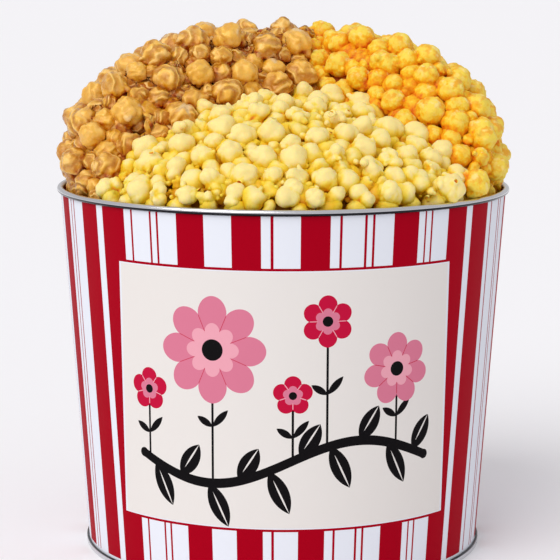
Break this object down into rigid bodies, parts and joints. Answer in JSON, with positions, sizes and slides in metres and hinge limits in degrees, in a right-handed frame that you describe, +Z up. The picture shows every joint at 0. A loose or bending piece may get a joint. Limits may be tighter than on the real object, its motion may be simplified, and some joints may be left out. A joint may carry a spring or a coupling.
{
  "type": "bucket of popcorn",
  "caption": "Tapered round tin with a rolled rim and a seamed base, heaped above the rim with butter, caramel and cheese popcorn, each in its own third.",
  "frame": {"origin": "centre of the tin's base, on the surface that the tin stands on", "axes": "+Z up along the tin's axis, -Y towards the front, where the label is, +X to the right of a person who faces the label"},
  "size_m": [0.2407, 0.2409, 0.2807],
  "materials": {
    "printed_tin": "glossy printed red and white stripes with a cream label",
    "bare_tin": "bare tinplate",
    "butter_popcorn": "pale buttery kernels",
    "caramel_popcorn": "glossy caramel glaze",
    "cheese_popcorn": "powdery cheese coating"
  },
  "bodies": {
    "root": {"tin_body": "printed_tin", "tin_base": "bare_tin", "butter_popcorn": "butter_popcorn", "caramel_popcorn": "caramel_popcorn", "cheese_popcorn": "cheese_popcorn"}
  },
  "joints": []
}
